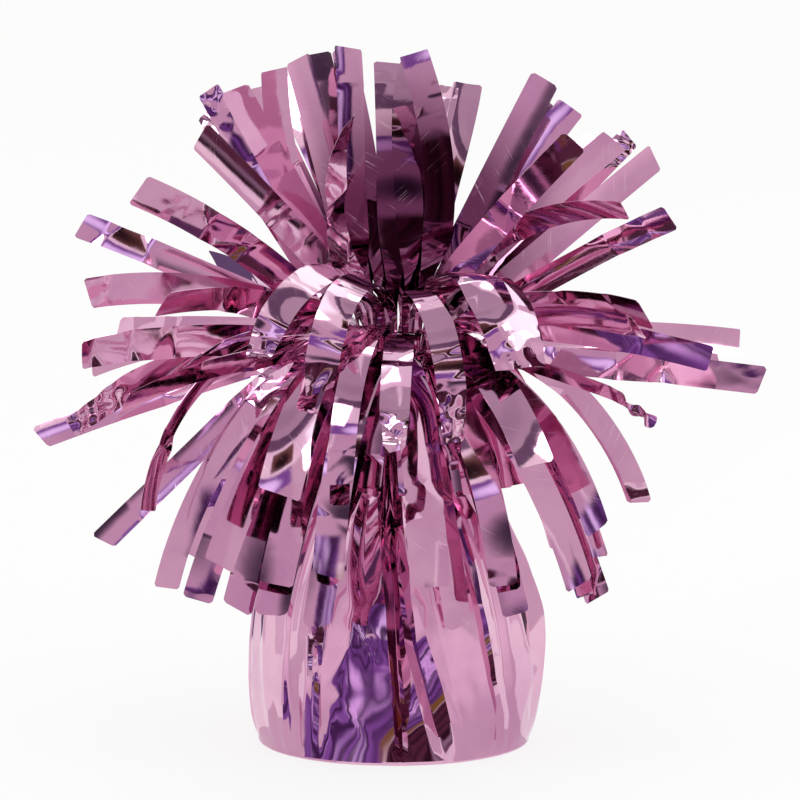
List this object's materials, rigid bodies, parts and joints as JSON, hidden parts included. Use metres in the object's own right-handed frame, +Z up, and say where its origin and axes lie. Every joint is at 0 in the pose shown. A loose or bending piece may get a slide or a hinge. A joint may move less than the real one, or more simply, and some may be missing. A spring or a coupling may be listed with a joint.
{
  "type": "balloon weight",
  "caption": "Table-top balloon weight: filled bell wrapped in pleated pink metallised film, tied at the neck, with a spray of film strips above.",
  "frame": {"origin": "middle of the flat face that it stands on", "axes": "+Z up along the wrap's own axis, -Y to the front as pictured, +X to the right seen from the front"},
  "size_m": [0.142, 0.1293, 0.1361],
  "materials": {
    "moulded_plastic": "moulded, hidden",
    "mortar": "dry mortar, hidden",
    "wrap_film": "mirror-bright metallised film",
    "fringe_film": "mirror-bright metallised film",
    "tie_plastic": "plastic-covered wire"
  },
  "bodies": {
    "root": {"weight_bell": "moulded_plastic", "base_plate": "moulded_plastic", "mortar_fill": "mortar", "foil_wrap": "wrap_film", "neck_tie": "tie_plastic", "fringe_crown_right": "fringe_film", "fringe_crown_back": "fringe_film", "fringe_crown_left": "fringe_film", "fringe_crown_front": "fringe_film", "fringe_upper_right": "fringe_film", "fringe_upper_back": "fringe_film", "fringe_upper_left": "fringe_film", "fringe_upper_front": "fringe_film", "fringe_middle_right": "fringe_film", "fringe_middle_back": "fringe_film", "fringe_middle_left": "fringe_film", "fringe_middle_front": "fringe_film", "fringe_lower_right": "fringe_film", "fringe_lower_back": "fringe_film", "fringe_lower_left": "fringe_film", "fringe_lower_front": "fringe_film", "fringe_skirt_right": "fringe_film", "fringe_skirt_back": "fringe_film", "fringe_skirt_left": "fringe_film", "fringe_skirt_front": "fringe_film"}
  },
  "joints": []
}
